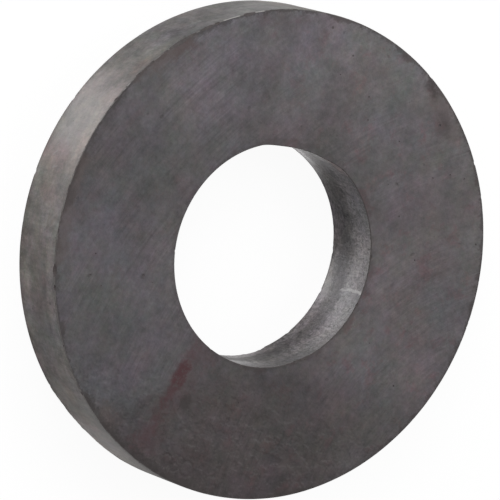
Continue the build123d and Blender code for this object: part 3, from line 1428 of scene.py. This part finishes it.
    def write_rim_nicks(self) -> Group:
        """A group that scatters the centres of small nicks along one rim.

        Returns:
            The group.
        """
        group = Group("rim_nicks", "GeometryNodeTree")
        radius = group.takes("Rim Radius", 0.035)
        height = group.takes("Rim Height", 0.01)
        air_outward = group.takes("Air Outward", 1.0)
        air_upward = group.takes("Air Upward", 1.0)
        count = group.takes("Count", 100, "NodeSocketInt")
        smallest = group.takes("Smallest", 0.00006)
        largest = group.takes("Largest", 0.0004)
        edge = group.takes("Edge Break", 0.0002)
        seed = group.takes("Seed", 0, "NodeSocketInt")

        def chance(low: float, high: float, number: int) -> Field:
            """The nick's random number of that number, from low to high."""
            return group.chance(low, high, group.math("ADD", seed, float(number)))

        turn = chance(0.0, 2.0 * math.pi, 1)
        lean = chance(math.radians(20.0), math.radians(70.0), 2)
        # Small nicks are far more common than large ones
        size = smallest * (largest / smallest) ** (chance(0.0, 1.0, 3) ** 2.2)
        stretch = chance(1.0, 2.6, 4)
        depth = edge * 0.72 + size * chance(0.15, 0.55, 5)
        outward = air_outward * group.math("COSINE", lean)
        upward = air_upward * group.math("SINE", lean)
        reach = size - depth
        away = radius + outward * reach
        x, y = (away * group.math(side, turn) for side in ("COSINE", "SINE"))
        place = group.vector(x, y, height + upward * reach)
        points = group.make("GeometryNodePoints", {"Count": count, "Position": place})
        facing = group.vector(0.0, group.math("ARCTAN2", upward, outward) * -1.0, turn)
        columns = (
            ("half_size", group.vector(size, size * stretch, size), "FLOAT_VECTOR"),
            ("facing", facing, "FLOAT_VECTOR"),
            ("rough", size * 0.5, "FLOAT"),
        )
        for name, value, kind in columns:
            points = group.carry(points, name, value, kind, "POINT")
        group.gives("Points", points, "NodeSocketGeometry")
        return group

    def pinholes(self, tree: Group, ring: Field, density: Field, seed: Field) -> Field:
        """Points strewn over the whole skin for the small holes in it.

        Args:
            tree: The tree that they are made in.
            ring: The ring.
            density: How many there are to the square metre.
            seed: The seed of their places and sizes.

        Returns:
            The points, which carry the pebbles' sizes.
        """
        feeds = {"Mesh": ring, "Density": density, "Seed": seed}
        points = tree.make("GeometryNodeDistributePointsOnFaces", feeds, distribute_method="RANDOM")
        share = tree.chance(0.0, 1.0, tree.math("ADD", seed, 5.0))
        size = (share ** 3.0) * (0.1 * MM) + 0.04 * MM
        columns = (
            ("half_size", tree.vector(size, size, size), "FLOAT_VECTOR"),
            ("facing", tree.vector(0.0, 0.0, share * 6.0), "FLOAT_VECTOR"),
            ("rough", size * 0.4, "FLOAT"),
        )
        for name, value, kind in columns:
            points = tree.carry(points, name, value, kind, "POINT")
        return points

    def of_kind(self, tree: Group, points: Field, kind: Pebble) -> Field:
        """The placed points that carry one kind's number.

        Args:
            tree: The tree that they are picked in.
            points: All the placed points.
            kind: The wanted kind.

        Returns:
            The points of that kind.
        """
        is_kind = tree.math("COMPARE", tree.carried("kind", "INT"), float(kind.value[0]), 0.25)
        feeds = {"Geometry": points, "Selection": is_kind}
        return tree.make("GeometryNodeSeparateGeometry", feeds, domain="POINT")

    def pebbles(self, tree: Group, points: Field, kind: Pebble) -> Field:
        """A roughened pebble at each point, each an instance of its own, to be taken from the ring.

        Args:
            tree: The tree that they are made in.
            points: The pebbles' centres, which carry their sizes and facings.
            kind: How fine they are, and the kind of surface that they leave.

        Returns:
            The pebbles.
        """
        _, subdivisions, zone = kind.value
        ball = tree.make("GeometryNodeMeshIcoSphere", {"Radius": 1.0, "Subdivisions": subdivisions})
        feeds = {
            "Points": points,
            "Instance": ball,
            "Rotation": tree.make("FunctionNodeEulerToRotation", {0: tree.carried("facing", "FLOAT_VECTOR")}),
            "Scale": tree.carried("half_size", "FLOAT_VECTOR"),
        }
        balls = tree.make("GeometryNodeInstanceOnPoints", feeds)
        balls = tree.make("GeometryNodeRealizeInstances", {"Geometry": balls})
        place = tree.make("GeometryNodeInputPosition")
        lumps = tree.noise(place, 1400.0, 2.0, 0.6, out="Color") - (0.5, 0.5, 0.5)
        balls = tree.shift(balls, tree.scaled(lumps, tree.carried("rough", "FLOAT") * 2.0))
        balls = tree.carry(balls, "zone", float(zone.value), "FLOAT", "FACE")
        feeds = {"Geometry": balls, "Group ID": tree.make("GeometryNodeInputMeshIsland", out="Island Index")}
        return tree.make("GeometryNodeSplitToInstances", feeds, domain="FACE")

    def build(self, finishes: dict[Zone, bpy.types.Material]) -> bpy.types.Object:
        """Run the tree and keep its result as a plain mesh.

        Args:
            finishes: The material of each kind of surface.

        Returns:
            The ring.
        """
        tree = self.tree(finishes)
        piece = put_in_scene("ring_magnet_sintered", self.markers())
        modifier = piece.modifiers.new("broken_ring", "NODES")
        modifier.node_group = tree.tree
        sizes = {
            "Outer Radius": self.outer_radius,
            "Bore Radius": self.bore_radius,
            "Thickness": self.thickness,
            "Edge Break": self.edge_break,
            "Turn Steps": self.turn_steps,
            "Wall Cuts": self.wall_cuts,
            "Face Cuts": self.face_cuts,
            "Wall Wave": self.wall_wave,
            "Nicks Per Rim": self.nicks_per_rim,
            "Smallest Nick": self.smallest_nick,
            "Largest Nick": self.largest_nick,
            "Lip Height": self.lip_height,
            "Lip Depth": self.lip_depth,
            "Pinhole Density": self.pinhole_density,
            "Seed": self.seed,
        }
        for name, value in sizes.items():
            modifier[tree.identifier(name)] = value
        depsgraph = bpy.context.evaluated_depsgraph_get()
        mesh = bpy.data.meshes.new_from_object(piece.evaluated_get(depsgraph))
        piece.modifiers.remove(modifier)
        piece.data = mesh
        for index in reversed([slot for slot, finish in enumerate(mesh.materials) if finish is None]):
            mesh.materials.pop(index=index)
        self.crease(mesh)
        return piece

    def crease(self, mesh: bpy.types.Mesh) -> None:
        """Shade the mesh smooth, but for its sharp edges and where two kinds of surface meet.

        Args:
            mesh: The ring's mesh.
        """
        shape = bmesh.new()
        shape.from_mesh(mesh)
        limit = math.radians(self.sharp_angle)
        for face in shape.faces:
            face.smooth = True
        for edge in shape.edges:
            kinds = {face.material_index for face in edge.link_faces}
            edge.smooth = len(kinds) < 2 and edge.calc_face_angle(0.0) < limit
        shape.to_mesh(mesh)
        shape.free()


def dull_white(name: str) -> tuple[bpy.types.Material, Graph, bpy.types.Node]:
    """Start a white material for the stage, without gloss, that can be made to shine.

    Args:
        name: Its name.

    Returns:
        The material, its graph and its shader.
    """
    material, graph, shader = new_material(name)
    plain = {
        "Base Color": (*STAGE_WHITE, 1.0),
        "Roughness": 0.9,
        "Specular IOR Level": 0.0,
        "Emission Color": (1.0, 1.0, 1.0, 1.0),
    }
    set_plain(shader, plain)
    return material, graph, shader


@dataclass(frozen=True)
class Softbox:
    """A square area lamp that looks at the ring. Degrees, metres and watts."""

    azimuth: float
    elevation: float
    distance: float
    size: float
    power: float


class CardPlace(Enum):
    """Where a bounce card lies on the floor: its inner and outer reach from the axis, in metres."""

    BESIDE_RING = (35.1 * MM, 55.0 * MM)
    IN_BORE = (4.0 * MM, 15.9 * MM)


@dataclass(frozen=True)
class BounceCard:
    """A patch of the floor beside the ring that shines in its walls. Degrees and metres."""

    azimuth: float
    spread: float
    strength: float
    reach: CardPlace
    steps: int = 24
    lift: float = 0.02 * MM

    def build(self, name: str) -> bpy.types.Object:
        """Make the patch as a flat sector that glows most in its middle.

        Args:
            name: Its name.

        Returns:
            The patch.
        """
        half = math.radians(self.spread * 3.0)
        middle = math.radians(self.azimuth)
        places = []
        for step in range(self.steps + 1):
            turn = middle - half + 2.0 * half * step / self.steps
            across, along = math.cos(turn), math.sin(turn)
            places += [(reach * across, reach * along, self.lift) for reach in self.reach.value]
        faces = [(2 * step, 2 * step + 1, 2 * step + 3, 2 * step + 2) for step in range(self.steps)]
        mesh = bpy.data.meshes.new(name)
        mesh.from_pydata(places, [], faces)
        card = put_in_scene(name, mesh)
        material, graph, shader = dull_white(name)
        x, y, _ = graph.parts(graph.make("ShaderNodeTexCoord", out="Object"))
        toward = (x * math.cos(middle) + y * math.sin(middle)) / graph.length(graph.vector(x, y, 0.0))
        glow = graph.math("EXPONENT", (toward - 1.0) / math.radians(self.spread) ** 2)
        graph.feed(shader.inputs["Emission Strength"], glow * self.strength)
        mesh.materials.append(material)
        card.visible_camera = False
        card.visible_diffuse = False
        card.visible_shadow = False
        return card


@dataclass(frozen=True)
class Studio:
    """The white sweep that the ring lies on, its lamps and the light of the room."""

    lamps: tuple[Softbox, ...] = (
        Softbox(azimuth=120.0, elevation=50.0, distance=0.35, size=0.2, power=0.13),
        Softbox(azimuth=210.0, elevation=30.0, distance=0.35, size=0.2, power=0.31),
        Softbox(azimuth=240.0, elevation=50.0, distance=0.35, size=0.2, power=0.16),
    )
    cards: tuple[BounceCard, ...] = (
        BounceCard(azimuth=252.0, spread=10.5, strength=1.95, reach=CardPlace.BESIDE_RING),
        BounceCard(azimuth=196.0, spread=8.0, strength=0.28, reach=CardPlace.BESIDE_RING),
        BounceCard(azimuth=342.0, spread=10.0, strength=0.38, reach=CardPlace.BESIDE_RING),
        BounceCard(azimuth=84.0, spread=9.0, strength=2.3, reach=CardPlace.IN_BORE),
        BounceCard(azimuth=159.0, spread=9.0, strength=1.9, reach=CardPlace.IN_BORE),
        BounceCard(azimuth=22.0, spread=8.0, strength=0.9, reach=CardPlace.IN_BORE),
    )
    room: float = 0.35
    floor_half: float = 1.5
    floor_shade: tuple[float, float, float] = (0.12, 0.12, 0.12)
    floor_shine: float = 0.93

    def build(self) -> None:
        """Make the floor, the lamps and the world."""
        self.build_floor()
        for number, box in enumerate(self.lamps):
            self.build_lamp(f"softbox_{number}", box)
        for number, card in enumerate(self.cards):
            card.build(f"bounce_card_{number}")
        world = bpy.data.worlds.new("room_light")
        world.use_nodes = True
        graph = Graph(world.node_tree)
        background = world.node_tree.nodes["Background"]
        camera_ray = graph.make("ShaderNodeLightPath", out="Is Camera Ray")
        background.inputs["Color"].default_value = (1.0, 1.0, 1.0, 1.0)
        graph.feed(background.inputs["Strength"], camera_ray * (1.0 - self.room) + self.room)
        bpy.context.scene.world = world

    def build_floor(self) -> bpy.types.Object:
        """A flat sheet that shows white to the camera and keeps the ring's shadow.

        Returns:
            The floor.
        """
        half = self.floor_half
        mesh = bpy.data.meshes.new("studio_floor")
        corners = [(-half, -half, 0.0), (half, -half, 0.0), (half, half, 0.0), (-half, half, 0.0)]
        mesh.from_pydata(corners, [], [(0, 1, 2, 3)])
        floor = put_in_scene("studio_floor", mesh)
        material, graph, shader = dull_white("white_sweep")
        camera_ray = graph.make("ShaderNodeLightPath", out="Is Camera Ray")
        graph.feed(shader.inputs["Base Color"], graph.tint(camera_ray, STAGE_WHITE, self.floor_shade))
        graph.feed(shader.inputs["Emission Strength"], camera_ray * self.floor_shine)
        mesh.materials.append(material)
        return floor

    def build_lamp(self, name: str, box: Softbox) -> bpy.types.Object:
        """One softbox, turned to face the ring.

        Args:
            name: The lamp's name.
            box: Its place, size and power.

        Returns:
            The lamp.
        """
        data = bpy.data.lights.new(name, "AREA")
        data.shape = "SQUARE"
        data.size = box.size
        data.energy = box.power
        lamp = put_in_scene(name, data)
        turn, rise = math.radians(box.azimuth), math.radians(box.elevation)
        level = math.cos(rise)
        place = Vector((level * math.cos(turn), level * math.sin(turn), math.sin(rise))) * box.distance
        lamp.matrix_world = Matrix.Translation(place) @ (-place).to_track_quat("-Z", "Y").to_matrix().to_4x4()
        return lamp


@dataclass(frozen=True)
class PhotoCamera:
    """The photograph's camera, as fitted to the ring's outlines. Millimetres and degrees."""

    distance_back: float = 404.244
    height: float = 661.949
    aim: tuple[float, float, float] = (0.235, -4.046, 10.5)
    roll: float = 107.501
    lens: float = 391.59
    sensor: float = 36.0

    def build(self) -> bpy.types.Object:
        """Make the camera and set it as the scene's.

        Returns:
            The camera.
        """
        data = bpy.data.cameras.new("photo_camera")
        data.lens = self.lens
        data.sensor_width = self.sensor
        data.clip_start = 0.01
        data.clip_end = 10.0
        camera = put_in_scene("photo_camera", data)
        place = Vector((0.0, -self.distance_back, self.height)) * MM
        look = Vector(self.aim) * MM - place
        turn = look.to_track_quat("-Z", "Y").to_matrix().to_4x4()
        roll = Matrix.Rotation(math.radians(self.roll), 4, "Z")
        camera.matrix_world = Matrix.Translation(place) @ turn @ roll
        bpy.context.scene.camera = camera
        return camera


def make_finishes(effects: SkinEffects) -> dict[Zone, bpy.types.Material]:
    """The material of each kind of surface on the ring.

    Args:
        effects: The shared shader groups.

    Returns:
        The materials.
    """
    ground, fired, drawn = (0.113, 0.0985, 0.1045), (0.192, 0.17, 0.1605), (0.203, 0.184, 0.191)
    worn, laid_open, shaded = (0.1, 0.085, 0.083), (0.08, 0.066, 0.065), (0.105, 0.09, 0.093)
    face = GroundFace("ground_ferrite", ground, roughness=0.42, size=24.0, light=2.6, red=0.85, blue=0.6)
    wall = FiredWall("fired_skin", fired, roughness=0.42, size=12.0, light=4.5, red=0.85, blue=0.65)
    bore = FiredBore("fired_bore_skin", drawn, roughness=0.42, size=18.0, light=3.3, red=0.45, blue=0.5)
    edge = EdgeWearAndHighlight("edge_wear_and_highlight", worn, roughness=0.5, size=8.0, light=1.5)
    broken = BrokenBody("broken_ferrite", laid_open, roughness=0.6, size=6.0, light=1.5)
    hole = BrokenBody("pinhole_dark", shaded, roughness=0.7, size=6.0, light=1.0)
    return {
        Zone.POLE_FACE: face.material(effects),
        Zone.OUTER_WALL: wall.material(effects),
        Zone.BORE_WALL: bore.material(effects),
        Zone.EASED_EDGE: edge.material(effects),
        Zone.BREAK: broken.material(effects),
        Zone.PINHOLE: hole.material(effects),
    }


def main() -> None:
    """Build the ring, the camera and the studio, in that order."""
    logging.basicConfig(level=logging.INFO, format="%(name)s: %(message)s")
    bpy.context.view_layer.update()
    low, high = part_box(NODE)
    bore = next(mount for mount in frame["record"]["mounts"] if mount["name"] == "bore")
    ring = RingMagnet(high.x, bore["dims"]["r_mm"] * MM, high.z - low.z)
    effects = SkinEffects.build(ring.outer_radius / MM, ring.bore_radius / MM, ring.thickness / MM)
    piece = ring.build(make_finishes(effects))
    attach(piece, "root")
    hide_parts(NODE)
    LOG.info("%s: %d triangles", piece.name, sum(len(face.vertices) - 2 for face in piece.data.polygons))
    PhotoCamera().build()
    Studio().build()
    LOG.info("camera and studio")
    bpy.context.scene.view_settings.view_transform = "Standard"


if __name__ == "__main__":
    main()
